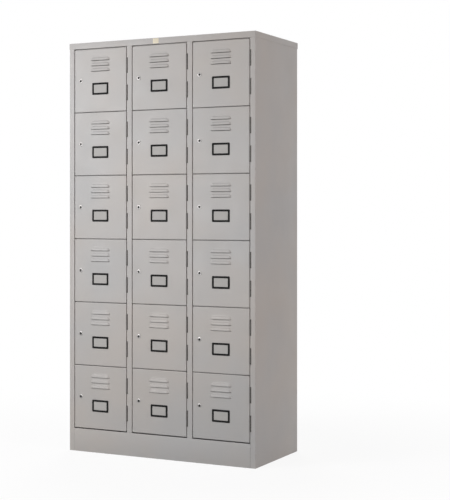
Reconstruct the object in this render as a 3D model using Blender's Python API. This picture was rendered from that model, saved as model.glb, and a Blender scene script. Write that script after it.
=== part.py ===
# Steel cube locker: three columns of six compartments, each with a hinged door and a cam lock.
# Lengths are in metres. X runs to the right, Y to the back and Z up.
# Pieces are placed from the front plane of the doors, under an empty that centres the
# footprint on the origin. Tier 1 is the top row.

import math

import bmesh
import bpy
from mathutils import Matrix, Vector

# Cabinet
CABINET_WIDTH = 0.914
CABINET_DEPTH = 0.457
CABINET_HEIGHT = 1.829
COLUMNS = ("left", "centre", "right")
TIERS = 6
SHEET = 0.001
SEAM = 0.0003

# Frame around the doors
STILE_FACE = 0.0243
POST_FACE = 0.0254
FRAME_RETURN = 0.0175
STOP_LIP = 0.012
REAR_FLANGE = 0.015

# Cap, plinth and back
CAP_LIP = 0.026
CAP_REAR_OVERHANG = 0.0035
HEADER_GAP = 0.0053
HEADER_STOP = 0.014
PLINTH_HEIGHT = 0.1016
PLINTH_HEM = 0.010
SILL_GAP = 0.0043
BACK_RETURN = 0.020

# Shelves and floor
SHELF_FLANGE = 0.018
SHELF_RISE = 0.006

# Doors
DOOR_GAP = 0.003
DOOR_DEPTH = 0.015
DOOR_LIP = 0.012

# Louvres, pressed outwards and open along the lower edge
LOUVRE_COUNT = 3
LOUVRE_LENGTH = 0.095
LOUVRE_HEIGHT = 0.0127
LOUVRE_DEPTH = 0.0045
LOUVRE_END = 0.0127
LOUVRE_SLIT = 0.0009
LOUVRE_PITCH = 0.0238
LOUVRE_DROP = 0.0502
LOUVRE_CROWN_HEIGHT_SHARE = 0.75
LOUVRE_CROWN_DEPTH_SHARE = 0.62
LOUVRE_END_STEPS = 2

# Label holder
LABEL_WIDTH = 0.083
LABEL_HEIGHT = 0.0534
LABEL_RIM = 0.0085
LABEL_THICKNESS = 0.0022
LABEL_DROP = 0.1769
CARD_THICKNESS = 0.0008

# Cam lock
LOCK_INSET = 0.032
LOCK_FLANGE_RADIUS = 0.0095
LOCK_FLANGE_THICKNESS = 0.002
LOCK_BARREL_RADIUS = 0.008
LOCK_BARREL_END = 0.0165
LOCK_SIDES = 10
PLUG_RADIUS = 0.0055
PLUG_SETBACK = 0.0004
KEY_SLOT_WIDTH = 0.0012
KEY_SLOT_HEIGHT = 0.0065
KEY_SLOT_DEPTH = 0.006
NUT_RADIUS = 0.0125
NUT_THICKNESS = 0.0035
NUT_SIDES = 6
CAM_OVERLAP = 0.007
CAM_CLEARANCE = 0.001
CAM_THICKNESS = 0.0015
CAM_HALF_WIDTH = 0.007
CAM_TIP_STEPS = 3
SCREW_RADIUS = 0.005
SCREW_THICKNESS = 0.002

# Lift-off hinges, whose knuckles lie in notches of the frame
HINGE_LENGTH = 0.068
HINGE_SPREAD = 0.120
HINGE_SETBACK = 0.0015
KNUCKLE_RADIUS = 0.0035
KNUCKLE_POINTS = 8
PIN_RADIUS = 0.0018
PIN_SIDES = 6
PIN_STOP = 0.002
LEAF_THICKNESS = 0.0012
LEAF_REACH = 0.0105
NOTCH_CLEARANCE = 0.0007

CUT_OVERRUN = 0.002
SMOOTH_ANGLE = math.radians(50)


# Radius of a polygon's corners when its flats touch a circle
def corner_radius(radius, sides):
    return radius / math.cos(math.pi / sides)


# Derived sizes and places
column_count = len(COLUMNS)
frame_faces = 2 * STILE_FACE + (column_count - 1) * POST_FACE
door_width = (CABINET_WIDTH - frame_faces - 2 * column_count * DOOR_GAP) / column_count
door_sill = PLINTH_HEIGHT + SILL_GAP
door_head = CABINET_HEIGHT - CAP_LIP - HEADER_GAP
door_height = (door_head - door_sill - (TIERS - 1) * DOOR_GAP) / TIERS
column_pitch = door_width + 2 * DOOR_GAP + POST_FACE
tier_pitch = door_height + DOOR_GAP

hinge_offset = KNUCKLE_RADIUS + SEAM
axis_from_frame = hinge_offset - DOOR_GAP
hinge_centres = [(door_height + side * HINGE_SPREAD) / 2 for side in (-1, 1)]
knuckle_half = HINGE_LENGTH / 2
front_reach = max(LOUVRE_DEPTH, LABEL_THICKNESS, LOCK_FLANGE_THICKNESS,
                  KNUCKLE_RADIUS - HINGE_SETBACK, SHEET + SEAM)
footprint_middle = (CABINET_DEPTH + CAP_REAR_OVERHANG - front_reach) / 2

panel_top = CABINET_HEIGHT - SHEET - SEAM
back_face = CABINET_DEPTH - SHEET - SEAM
partition_depth = back_face - SHEET - SEAM
partition_top = panel_top - SHEET - SEAM
shelf_front = FRAME_RETURN + SHEET + 2 * SEAM
shelf_back = partition_depth - SHEET - SEAM
floor_top = (PLINTH_HEIGHT + door_sill) / 2 + SHELF_RISE
lock_bore = corner_radius(PLUG_RADIUS + SEAM, LOCK_SIDES)
cam_front = FRAME_RETURN + SHEET + CAM_CLEARANCE
cam_length = LOCK_INSET + DOOR_GAP - STOP_LIP + CAM_OVERLAP


def door_left(column):
    return STILE_FACE + DOOR_GAP - CABINET_WIDTH / 2 + column * column_pitch


def door_bottom(tier):
    return door_sill + (TIERS - 1 - tier) * tier_pitch


def partition_left_face(column):
    return door_left(column) + door_width + DOOR_GAP


def make_material(name, color, roughness, metallic):
    material = bpy.data.materials.new(name)
    material.use_nodes = True
    shader = material.node_tree.nodes["Principled BSDF"]
    shader.inputs["Base Color"].default_value = (*color, 1)
    shader.inputs["Roughness"].default_value = roughness
    shader.inputs["Metallic"].default_value = metallic
    return material


# Mesh helpers: rings of points, walls between rings, and ends with or without holes.
# The finish is the slot of the material that the new faces take.
def add_ring(bm, points):
    return [bm.verts.new(point) for point in points]


def bridge(bm, first, second, finish=0):
    for index in range(len(first)):
        following = (index + 1) % len(first)
        face = bm.faces.new((first[index], first[following], second[following], second[index]))
        face.material_index = finish


def cap(bm, outline, holes=(), finish=0):
    if not holes:
        face = bm.faces.new(outline)
        face.material_index = finish
        return
    edges = []
    for ring in (outline, *holes):
        for index, vert in enumerate(ring):
            pair = (vert, ring[(index + 1) % len(ring)])
            edges.append(bm.edges.get(pair) or bm.edges.new(pair))
    filled = bmesh.ops.triangle_fill(bm, edges=edges, use_beauty=True)
    for item in filled["geom"]:
        if isinstance(item, bmesh.types.BMFace):
            item.material_index = finish


def add_prism(bm, outline, sweep):
    start = add_ring(bm, outline)
    end = add_ring(bm, [Vector(point) + Vector(sweep) for point in outline])
    bridge(bm, start, end)
    cap(bm, start)
    cap(bm, end)


def add_box(bm, low, high):
    outline = [(low[0], low[1], low[2]), (high[0], low[1], low[2]),
               (high[0], high[1], low[2]), (low[0], high[1], low[2])]
    add_prism(bm, outline, (0, 0, high[2] - low[2]))


def circle(radius, sides, y, centre_x=0, centre_z=0):
    turns = [2 * math.pi * step / sides for step in range(sides)]
    return [(centre_x + radius * math.cos(turn), y, centre_z + radius * math.sin(turn))
            for turn in turns]


def rectangle(low_x, high_x, y, low_z, high_z):
    return [(low_x, y, low_z), (high_x, y, low_z), (high_x, y, high_z), (low_x, y, high_z)]


# Closed outline of a folded sheet, whose outer face follows the path with the sheet on its left
def folded_outline(path, thickness):
    points = [Vector(point) for point in path]
    headings = [(end - start).normalized() for start, end in zip(points, points[1:])]
    inner = []
    for index, point in enumerate(points):
        before = headings[max(index - 1, 0)]
        after = headings[min(index, len(headings) - 1)]
        mitre = Vector((-before.y - after.y, before.x + after.x))
        inner.append(point + mitre * (2 * thickness / mitre.length_squared))
    return points + inner[::-1]


def plain_mesh(bm, name):
    bmesh.ops.recalc_face_normals(bm, faces=bm.faces)
    mesh = bpy.data.meshes.new(name)
    bm.to_mesh(mesh)
    bm.free()
    return mesh


def shade(mesh, materials):
    mesh.shade_smooth()
    mesh.set_sharp_from_angle(angle=SMOOTH_ANGLE)
    mesh.materials.clear()
    for material in materials:
        mesh.materials.append(material)
    return mesh


def finish_mesh(bm, name, materials):
    return shade(plain_mesh(bm, name), materials)


def add_object(name, mesh, location=(0, 0, 0), parent=None):
    thing = bpy.data.objects.new(name, mesh)
    thing.location = location
    thing.parent = parent
    bpy.context.scene.collection.objects.link(thing)
    return thing


# One mesh from a solid and the solids that are cut from it or welded to it, in that order
def combine(name, bm, changes, materials):
    base = add_object(name, plain_mesh(bm, name))
    tools = []
    for operation, tool_bm in changes:
        tool = add_object(f"{name}_{operation.lower()}", plain_mesh(tool_bm, name))
        tools.append(tool)
        change = base.modifiers.new(operation, "BOOLEAN")
        change.operation = operation
        change.solver = "EXACT"
        change.object = tool
    mesh = bpy.data.meshes.new_from_object(
        base.evaluated_get(bpy.context.evaluated_depsgraph_get()))
    for thing in (base, *tools):
        bpy.data.objects.remove(thing, do_unlink=True)
    mesh.name = name
    return shade(mesh, materials)


# Plan of a side panel or partition: rear flange, wall, front face, return and lip.
# The lip turns away from the face as a door stop, or back under it to stiffen the edge.
def upright_outline(face, depth, lip):
    path = [(REAR_FLANGE, depth), (0, depth), (0, 0), (face, 0), (face, FRAME_RETURN),
            (face + lip, FRAME_RETURN)]
    return folded_outline(path, SHEET)


def upright(outline, side, low, high):
    bm = bmesh.new()
    add_prism(bm, [(side * x, y, low) for x, y in outline], (0, 0, high - low))
    return bm


# Notches for the hinge knuckles of one column, in the frame edge beside its doors
def add_hinge_notches(bm, edge):
    inner = edge + axis_from_frame + KNUCKLE_RADIUS + NOTCH_CLEARANCE
    depth = HINGE_SETBACK + KNUCKLE_RADIUS + NOTCH_CLEARANCE
    half = knuckle_half + NOTCH_CLEARANCE
    for tier in range(TIERS):
        for centre in hinge_centres:
            z = door_bottom(tier) + centre
            add_box(bm, (edge - CUT_OVERRUN, -CUT_OVERRUN, z - half), (inner, depth, z + half))


# Left panel, with a stop lip for the lock side of the first column
def build_side_panel_left(parent):
    name = "side_panel_left"
    outline = upright_outline(STILE_FACE, CABINET_DEPTH, STOP_LIP)
    mesh = finish_mesh(upright(outline, 1, 0, panel_top), name, [powder_coat])
    add_object(name, mesh, (-CABINET_WIDTH / 2, 0, 0), parent)


# Right panel, with the frame halves of the last column's hinges welded in its notches
def build_side_panel_right(parent):
    name = "side_panel_right"
    outline = upright_outline(STILE_FACE, CABINET_DEPTH, -STOP_LIP)
    notches = bmesh.new()
    add_hinge_notches(notches, -STILE_FACE)
    hinges = bmesh.new()
    add_frame_hinges(hinges, -STILE_FACE)
    mesh = combine(name, upright(outline, -1, 0, panel_top),
                   [("DIFFERENCE", notches), ("UNION", hinges)], [powder_coat, hinge_steel])
    add_object(name, mesh, (CABINET_WIDTH / 2, 0, 0), parent)


# Partitions, whose front edges are folded into the posts between the columns.
# Each stands on the floor panel, and its post reaches down to the plinth.
def build_partitions(parent):
    outline = upright_outline(POST_FACE, partition_depth, STOP_LIP)
    foot = PLINTH_HEIGHT + SEAM
    cuts = bmesh.new()
    add_hinge_notches(cuts, 0)
    add_box(cuts, (-CUT_OVERRUN, shelf_front - SEAM, foot - CUT_OVERRUN),
            (POST_FACE + STOP_LIP, CABINET_DEPTH, floor_top + SEAM))
    hinges = bmesh.new()
    add_frame_hinges(hinges, 0)
    mesh = combine("partition", upright(outline, 1, foot, partition_top),
                   [("DIFFERENCE", cuts), ("UNION", hinges)], [powder_coat, hinge_steel])
    for column in range(column_count - 1):
        place = (partition_left_face(column), 0, 0)
        add_object(f"partition_{column + 1}", mesh, place, parent)


def build_back_panel(parent):
    path = [(back_face - BACK_RETURN, 0), (back_face, 0), (back_face, panel_top),
            (back_face - BACK_RETURN, panel_top)]
    inside = CABINET_WIDTH / 2 - SHEET - SEAM
    bm = bmesh.new()
    outline = [(-inside, y, z) for y, z in folded_outline(path, SHEET)]
    add_prism(bm, outline, (2 * inside, 0, 0))
    add_object("back_panel", finish_mesh(bm, "back_panel", [powder_coat]), (0, 0, 0), parent)


# The plinth's top edge is hemmed, so that the gap under the doors opens on the dark behind it
def build_plinth(parent):
    depth = FRAME_RETURN - SEAM
    hem = 2 * SHEET + SEAM
    path = [(hem, PLINTH_HEIGHT - PLINTH_HEM), (hem, PLINTH_HEIGHT), (0, PLINTH_HEIGHT), (0, 0),
            (depth, 0)]
    inside = CABINET_WIDTH / 2 - STILE_FACE - SEAM
    bm = bmesh.new()
    outline = [(-inside, y, z) for y, z in folded_outline(path, SHEET)]
    add_prism(bm, outline, (2 * inside, 0, 0))
    add_object("plinth", finish_mesh(bm, "plinth", [powder_coat]), (0, 0, 0), parent)


# A tray with its open side down: a plate with four turned-down flanges
def add_tray(bm, low, high, top, flange):
    inner_low = (low[0] + SHEET, low[1] + SHEET)
    inner_high = (high[0] - SHEET, high[1] - SHEET)
    rings = []
    for (x0, y0), (x1, y1), z in ((low, high, top), (low, high, top - flange),
                                  (inner_low, inner_high, top - flange),
                                  (inner_low, inner_high, top - SHEET)):
        rings.append(add_ring(bm, [(x0, y0, z), (x1, y0, z), (x1, y1, z), (x0, y1, z)]))
    for first, second in zip(rings, rings[1:]):
        bridge(bm, first, second)
    cap(bm, rings[0])
    cap(bm, rings[-1])


def build_floor(parent):
    inside = CABINET_WIDTH / 2 - SHEET - SEAM
    bm = bmesh.new()
    add_tray(bm, (-inside, shelf_front), (inside, back_face - SHEET - SEAM), 0, SHELF_FLANGE)
    mesh = finish_mesh(bm, "floor_panel", [powder_coat])
    add_object("floor_panel", mesh, (0, 0, floor_top), parent)


def compartment_walls(column):
    inner_side = CABINET_WIDTH / 2 - SHEET
    left = -inner_side if column == 0 else partition_left_face(column - 1) + SHEET
    right = inner_side if column == column_count - 1 else partition_left_face(column)
    return left, right


def build_shelves(parent):
    for column, column_name in enumerate(COLUMNS):
        left, right = compartment_walls(column)
        width = right - left - 2 * SEAM
        bm = bmesh.new()
        add_tray(bm, (0, shelf_front), (width, shelf_back), 0, SHELF_FLANGE)
        mesh = finish_mesh(bm, f"shelf_{column_name}", [powder_coat])
        for tier in range(TIERS - 1):
            top = door_bottom(tier) - DOOR_GAP / 2 + SHELF_RISE
            add_object(f"shelf_{column_name}_{tier + 1}", mesh, (left + SEAM, 0, top), parent)


# The cap is a lid whose front lip is folded back and down behind the top doors as a stop
def build_cap(parent):
    half = CABINET_WIDTH / 2 + SEAM + SHEET
    bm = bmesh.new()
    add_tray(bm, (-half, -SEAM - SHEET), (half, CABINET_DEPTH + CAP_REAR_OVERHANG), 0, CAP_LIP)
    depth = FRAME_RETURN - SEAM
    path = [(depth, -CAP_LIP - HEADER_STOP), (depth, -CAP_LIP), (-SEAM - SHEET / 2, -CAP_LIP)]
    outline = folded_outline(path, SHEET)
    stops = bmesh.new()
    for column in range(column_count):
        start = door_left(column) - DOOR_GAP + SEAM
        length = door_width + 2 * (DOOR_GAP - SEAM)
        add_prism(stops, [(start, y, z) for y, z in outline], (length, 0, 0))
    mesh = combine("top_cap", bm, [("UNION", stops)], [powder_coat])
    add_object("top_cap", mesh, (0, 0, CABINET_HEIGHT), parent)


# One pressed louvre. Returns the corners of its opening in the front and the inner face.
def add_louvre(bm, middle, lower_edge):
    half = LOUVRE_LENGTH / 2
    stations = []
    for step in range(LOUVRE_END_STEPS + 1):
        angle = math.pi / 2 * step / LOUVRE_END_STEPS
        stations.append((half - LOUVRE_END + LOUVRE_END * math.cos(angle), math.sin(angle)))
    stations = [(-x, rise) for x, rise in stations] + [(x, rise) for x, rise in stations[::-1]]
    section_shares = ((1, 0), (LOUVRE_CROWN_HEIGHT_SHARE, LOUVRE_CROWN_DEPTH_SHARE), (0, 1))
    slit = lower_edge - LOUVRE_SLIT
    openings = []
    lips = []
    for face_y in (0, SHEET):
        columns = []
        for x, rise in stations:
            points = [(middle + x, face_y - LOUVRE_DEPTH * rise * out,
                       lower_edge + LOUVRE_HEIGHT * rise * up) for up, out in section_shares]
            if not rise:
                columns.append([bm.verts.new(points[-1])] * len(points))
            else:
                columns.append(add_ring(bm, points))
        for start, end in zip(columns, columns[1:]):
            for row in range(len(section_shares) - 1):
                corners = (start[row], end[row], end[row + 1], start[row + 1])
                bm.faces.new(list(dict.fromkeys(corners)))
        foot = add_ring(bm, [(middle + half, face_y, slit), (middle - half, face_y, slit)])
        openings.append([column[0] for column in columns] + foot)
        lips.append([column[-1] for column in columns] + foot)
    bridge(bm, lips[0], lips[1])
    return openings


# Holder that stands on the door's face with the card behind its rim. Returns its foot.
def add_label(bm):
    middle = door_width / 2
    centre = door_height - LABEL_DROP
    rings = []
    for inset, y in ((0, 0), (0, -LABEL_THICKNESS), (LABEL_RIM, -LABEL_THICKNESS),
                     (LABEL_RIM, -CARD_THICKNESS)):
        half_width = LABEL_WIDTH / 2 - inset
        half_height = LABEL_HEIGHT / 2 - inset
        rings.append(add_ring(bm, rectangle(middle - half_width, middle + half_width, y,
                                            centre - half_height, centre + half_height)))
    for first, second in zip(rings, rings[1:]):
        bridge(bm, first, second, 1)
    cap(bm, rings[-1], finish=2)
    return rings[0]


# Flanged barrel of the lock, which the plug turns in, with the nut behind the sheet.
# Returns the foot of the flange on the front and of the nut on the inner face.
def add_lock_housing(bm):
    centre = (LOCK_INSET, door_height / 2)
    nut_end = SHEET + NUT_THICKNESS
    profile = [(LOCK_FLANGE_RADIUS, 0), (LOCK_FLANGE_RADIUS, -LOCK_FLANGE_THICKNESS),
               (lock_bore, -LOCK_FLANGE_THICKNESS), (lock_bore, LOCK_BARREL_END),
               (LOCK_BARREL_RADIUS, LOCK_BARREL_END), (LOCK_BARREL_RADIUS, nut_end)]
    rings = [add_ring(bm, circle(radius, LOCK_SIDES, y, *centre)) for radius, y in profile]
    nut = [add_ring(bm, circle(NUT_RADIUS, NUT_SIDES, y, *centre)) for y in (nut_end, SHEET)]
    for first, second in zip(rings, rings[1:]):
        bridge(bm, first, second, 3)
    cap(bm, nut[0], [rings[-1]], 3)
    bridge(bm, nut[0], nut[1], 3)
    return rings[0], nut[1]


def add_door_pan(bm):
    flange_foot, nut_foot = add_lock_housing(bm)
    front_holes = [add_label(bm), flange_foot]
    back_holes = [nut_foot]
    for index in range(LOUVRE_COUNT):
        lower_edge = door_height - LOUVRE_DROP - index * LOUVRE_PITCH
        front, back = add_louvre(bm, door_width / 2, lower_edge)
        front_holes.append(front)
        back_holes.append(back)
    lip = DOOR_LIP
    loops = [rectangle(0, door_width, 0, 0, door_height),
             rectangle(0, door_width, DOOR_DEPTH, 0, door_height),
             rectangle(lip, door_width - lip, DOOR_DEPTH, lip, door_height - lip),
             rectangle(lip, door_width - lip, DOOR_DEPTH - SHEET, lip, door_height - lip),
             rectangle(SHEET, door_width - SHEET, DOOR_DEPTH - SHEET, SHEET, door_height - SHEET),
             rectangle(SHEET, door_width - SHEET, SHEET, SHEET, door_height - SHEET)]
    rings = [add_ring(bm, loop) for loop in loops]
    for first, second in zip(rings, rings[1:]):
        bridge(bm, first, second)
    cap(bm, rings[0], front_holes)
    cap(bm, rings[-1], back_holes)


# Plan of a hinge half about its pin: a rolled knuckle and the leaf that runs back from it.
# The leaf lies between two distances to the left of the pin. Where the far one is beyond
# the knuckle, the leaf leaves it at a tangent.
def knuckle_plan(near, far):
    start = math.acos(-near / KNUCKLE_RADIUS)
    end = math.acos(-min(far / KNUCKLE_RADIUS, 1))
    sweep = 2 * math.pi - (end - start)
    points = []
    for step in range(KNUCKLE_POINTS):
        angle = start - sweep * step / (KNUCKLE_POINTS - 1)
        points.append((KNUCKLE_RADIUS * math.cos(angle), KNUCKLE_RADIUS * math.sin(angle)))
    if far > KNUCKLE_RADIUS:
        points.append((-far, 0))
    return points + [(-far, LEAF_REACH), (-near, LEAF_REACH)]


def pin_plan(radius):
    turns = [2 * math.pi * step / PIN_SIDES for step in range(PIN_SIDES)]
    return [(radius * math.cos(turn), radius * math.sin(turn)) for turn in turns]


def ring_at(bm, plan, place, z):
    return add_ring(bm, [(place[0] + x, place[1] + y, z) for x, y in plan])


# Upper halves, on the door, with a bore for the pin
def add_door_hinges(bm):
    plan = knuckle_plan(KNUCKLE_RADIUS - LEAF_THICKNESS, hinge_offset + SHEET / 2)
    bore = pin_plan(corner_radius(PIN_RADIUS + SEAM, PIN_SIDES))
    place = (door_width + hinge_offset, HINGE_SETBACK)
    for centre in hinge_centres:
        ends = (centre + SEAM / 2, centre + knuckle_half)
        outer = [ring_at(bm, plan, place, z) for z in ends]
        inner = [ring_at(bm, bore, place, z) for z in ends]
        bridge(bm, outer[0], outer[1], 4)
        bridge(bm, inner[0], inner[1], 4)
        cap(bm, outer[0], [inner[0]], 4)
        cap(bm, outer[1], [inner[1]], 4)


# Lower halves for one column, in the frame, each with its pin standing on it
def add_frame_hinges(bm, edge):
    plan = knuckle_plan(axis_from_frame - SHEET / 2, axis_from_frame + SEAM + LEAF_THICKNESS)
    pin = pin_plan(PIN_RADIUS)
    place = (edge + axis_from_frame, HINGE_SETBACK)
    for tier in range(TIERS):
        for centre in hinge_centres:
            z = door_bottom(tier) + centre
            foot = ring_at(bm, plan, place, z - knuckle_half)
            seat = ring_at(bm, plan, place, z - SEAM / 2)
            pin_foot = ring_at(bm, pin, place, z - SEAM / 2)
            pin_top = ring_at(bm, pin, place, z + knuckle_half - PIN_STOP)
            bridge(bm, foot, seat, 1)
            bridge(bm, pin_foot, pin_top, 1)
            cap(bm, foot, finish=1)
            cap(bm, seat, [pin_foot], 1)
            cap(bm, pin_top, finish=1)


# Door with everything that is fixed to it, drawn from its lower left front corner
# and then moved so that the pin's axis is at the origin
def make_door_mesh():
    pan = bmesh.new()
    add_door_pan(pan)
    hinges = bmesh.new()
    add_door_hinges(hinges)
    finishes = [powder_coat, black_plastic, label_card, chrome, hinge_steel]
    mesh = combine("door", pan, [("UNION", hinges)], finishes)
    mesh.transform(Matrix.Translation((-door_width - hinge_offset, -HINGE_SETBACK, 0)))
    return mesh


# Plug with its key slot, the cam on its rear end and the screw that holds it
def make_lock_mesh():
    plug = bmesh.new()
    front = PLUG_SETBACK - LOCK_FLANGE_THICKNESS
    ends = (front, cam_front + CAM_THICKNESS / 2)
    rings = [add_ring(plug, circle(PLUG_RADIUS, LOCK_SIDES, y)) for y in ends]
    bridge(plug, rings[0], rings[1])
    half_width = KEY_SLOT_WIDTH / 2
    half_height = KEY_SLOT_HEIGHT / 2
    slot = [add_ring(plug, rectangle(-half_width, half_width, y, -half_height, half_height))
            for y in (front, front + KEY_SLOT_DEPTH)]
    bridge(plug, slot[0], slot[1])
    cap(plug, rings[0], [slot[0]])
    cap(plug, rings[1])
    cap(plug, slot[1])

    cam = bmesh.new()
    straight = cam_length - CAM_HALF_WIDTH
    outline = [(CAM_HALF_WIDTH, cam_front, CAM_HALF_WIDTH),
               (-CAM_HALF_WIDTH, cam_front, CAM_HALF_WIDTH)]
    for step in range(CAM_TIP_STEPS + 1):
        angle = math.pi * (1 + step / CAM_TIP_STEPS)
        outline.append((CAM_HALF_WIDTH * math.cos(angle), cam_front,
                        CAM_HALF_WIDTH * math.sin(angle) - straight))
    add_prism(cam, outline, (0, CAM_THICKNESS, 0))

    screw = bmesh.new()
    foot = cam_front + CAM_THICKNESS / 2
    outline = circle(SCREW_RADIUS, NUT_SIDES, foot)
    add_prism(screw, outline, (0, CAM_THICKNESS / 2 + SCREW_THICKNESS, 0))
    return combine("lock", plug, [("UNION", cam), ("UNION", screw)], [chrome])


def build_doors(parent):
    door_mesh = make_door_mesh()
    lock_mesh = make_lock_mesh()
    lock_place = (LOCK_INSET - door_width - hinge_offset, -HINGE_SETBACK, door_height / 2)
    for column, column_name in enumerate(COLUMNS):
        pin_x = door_left(column) + door_width + hinge_offset
        for tier in range(TIERS):
            label = f"{column_name}_{tier + 1}"
            place = (pin_x, HINGE_SETBACK, door_bottom(tier))
            door = add_object(f"door_{label}", door_mesh, place, parent)
            add_object(f"lock_{label}", lock_mesh, lock_place, door)


for old in list(bpy.data.objects):
    bpy.data.objects.remove(old, do_unlink=True)

powder_coat = make_material("powder_coat", (0.44, 0.41, 0.38), 0.45, 0.0)
black_plastic = make_material("black_plastic", (0.02, 0.02, 0.02), 0.5, 0.0)
label_card = make_material("label_card", (0.55, 0.56, 0.52), 0.6, 0.0)
chrome = make_material("chrome", (0.7, 0.7, 0.7), 0.2, 1.0)
hinge_steel = make_material("hinge_steel", (0.12, 0.11, 0.10), 0.5, 0.6)

locker = bpy.data.objects.new("locker", None)
locker.location = (0, -footprint_middle, 0)
bpy.context.scene.collection.objects.link(locker)

build_side_panel_left(locker)
build_side_panel_right(locker)
build_partitions(locker)
build_back_panel(locker)
build_plinth(locker)
build_floor(locker)
build_shelves(locker)
build_cap(locker)
build_doors(locker)
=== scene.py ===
# Steel cube locker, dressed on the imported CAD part: folded powder coated sheet, pressed louvres,
# black label holders, cam locks and lift-off hinges. Lengths are in metres, +Z is up.
import math
import bmesh
import bpy
from functools import partial
from mathutils import Matrix, Vector


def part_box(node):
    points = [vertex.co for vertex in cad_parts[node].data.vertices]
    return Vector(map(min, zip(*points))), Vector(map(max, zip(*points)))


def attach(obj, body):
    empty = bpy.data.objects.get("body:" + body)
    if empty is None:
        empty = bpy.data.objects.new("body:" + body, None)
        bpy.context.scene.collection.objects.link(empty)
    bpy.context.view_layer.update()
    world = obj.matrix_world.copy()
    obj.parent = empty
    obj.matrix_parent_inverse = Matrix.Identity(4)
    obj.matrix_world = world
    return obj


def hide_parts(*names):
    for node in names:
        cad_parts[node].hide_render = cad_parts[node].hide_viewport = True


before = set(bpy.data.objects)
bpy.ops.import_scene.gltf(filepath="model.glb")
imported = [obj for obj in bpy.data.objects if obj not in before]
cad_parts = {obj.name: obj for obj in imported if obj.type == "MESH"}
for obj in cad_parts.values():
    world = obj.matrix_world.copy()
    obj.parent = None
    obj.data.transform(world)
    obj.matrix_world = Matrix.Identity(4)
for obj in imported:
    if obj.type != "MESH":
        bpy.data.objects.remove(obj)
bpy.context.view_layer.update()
print("CAD frame loaded:", len(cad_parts), "nodes")

columnNames = ("left", "centre", "right")
tierCount = 6
sheetThickness = 0.001
seam = 0.0003


# Small helpers for node trees, objects and meshes
def setAll(thing, settings):
    for key, value in settings.items():
        setattr(thing, key, value)


def newNode(tree, kind, inputs=None, **settings):
    node = tree.nodes.new(kind)
    setAll(node, settings)
    for key, value in (inputs or {}).items():
        if isinstance(value, bpy.types.NodeSocket):
            tree.links.new(value, node.inputs[key])
        else:
            node.inputs[key].default_value = value
    return node


def outputOf(tree, kind, inputs=None, **settings):
    return newNode(tree, kind, inputs, **settings).outputs[0]


def maths(tree, operation, *values):
    return outputOf(tree, "ShaderNodeMath", dict(enumerate(values)), operation=operation)


def times(tree, first, second):
    return maths(tree, "MULTIPLY", first, second)


def mapped(tree, value, fromMin, fromMax, toMin, toMax, **settings):
    return outputOf(tree, "ShaderNodeMapRange", {
        "Value": value, "From Min": fromMin, "From Max": fromMax, "To Min": toMin,
        "To Max": toMax}, **settings)


def scaled(tree, vector, factor):
    return outputOf(tree, "ShaderNodeVectorMath", {0: vector, 3: factor}, operation="SCALE")


def newObject(name, mesh):
    thing = bpy.data.objects.new(name, mesh)
    bpy.context.scene.collection.objects.link(thing)
    return thing


# Gives an object its modifiers, turns it into a plain mesh and removes the object
def bakeMesh(thing, changes):
    for kind, settings in changes:
        setAll(thing.modifiers.new(kind.title(), kind), settings)
    graph = bpy.context.evaluated_depsgraph_get()
    mesh = bpy.data.meshes.new_from_object(thing.evaluated_get(graph))
    bpy.data.objects.remove(thing, do_unlink=True)
    return mesh


def withModifiers(mesh, *changes):
    return bakeMesh(newObject("working", mesh), changes)


# Runs a geometry tree on a mesh, with the inputs given by name
def runTree(tree, mesh, values, *changes):
    thing = newObject("working", mesh)
    modifier = thing.modifiers.new("tree", "NODES")
    modifier.node_group = tree
    for socket in tree.interface.items_tree:
        if socket.in_out == "INPUT" and socket.name in values:
            modifier[socket.identifier] = values[socket.name]
    return bakeMesh(thing, changes)


def storeMesh(bm):
    mesh = bpy.data.meshes.new("working")
    bm.to_mesh(mesh)
    bm.free()
    return mesh


def meshFrom(bm):
    bmesh.ops.recalc_face_normals(bm, faces=bm.faces)
    return storeMesh(bm)


def lineMesh(points):
    mesh = bpy.data.meshes.new("line")
    mesh.from_pydata([tuple(point) for point in points],
                     [(index, index + 1) for index in range(len(points) - 1)], [])
    return mesh


def smoothMesh(mesh, angle=35):
    mesh.shade_smooth()
    mesh.set_sharp_from_angle(angle=math.radians(angle))
    return mesh


def smoothFrom(bm, angle=35):
    return smoothMesh(meshFrom(bm), angle)


# A finished piece: its own copy of the mesh with its place in the vertices
def addPiece(name, mesh, body, offset, material, standsFor=()):
    copy = mesh.copy()
    copy.name = name
    copy.transform(Matrix.Translation(offset))
    copy.materials.clear()
    copy.materials.append(material)
    piece = newObject(name, copy)
    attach(piece, body)
    if standsFor:
        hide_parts(*standsFor)


# A painted sheet of the cabinet, which stands for the CAD nodes that are named
def addSheet(name, mesh, *nodes, offset=(0, 0, 0), angle=35):
    addPiece(name, smoothMesh(mesh, angle), "cabinet", offset, powderCoat, nodes)


# A tree that takes a mesh, the named inputs of each kind and its finish
def startTree(name, inputs):
    tree = bpy.data.node_groups.new(name, "GeometryNodeTree")
    for kind, names in {"Geometry": ("Geometry",), **inputs, "Material": ("Finish",)}.items():
        for inputName in names:
            tree.interface.new_socket(inputName, in_out="INPUT", socket_type=f"NodeSocket{kind}")
    tree.interface.new_socket("Geometry", in_out="OUTPUT", socket_type="NodeSocketGeometry")
    return tree, tree.nodes.new("NodeGroupInput").outputs


# Every tree ends in plain geometry with its material
def endTree(tree, geometry, material):
    real = outputOf(tree, "GeometryNodeRealizeInstances", {"Geometry": geometry})
    coated = outputOf(tree, "GeometryNodeSetMaterial", {"Geometry": real, "Material": material})
    newNode(tree, "NodeGroupOutput", {"Geometry": coated})
    return tree


def joinParts(tree, *parts):
    node = tree.nodes.new("GeometryNodeJoinGeometry")
    for part in parts:
        tree.links.new(part, node.inputs[0])
    return node.outputs[0]


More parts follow.
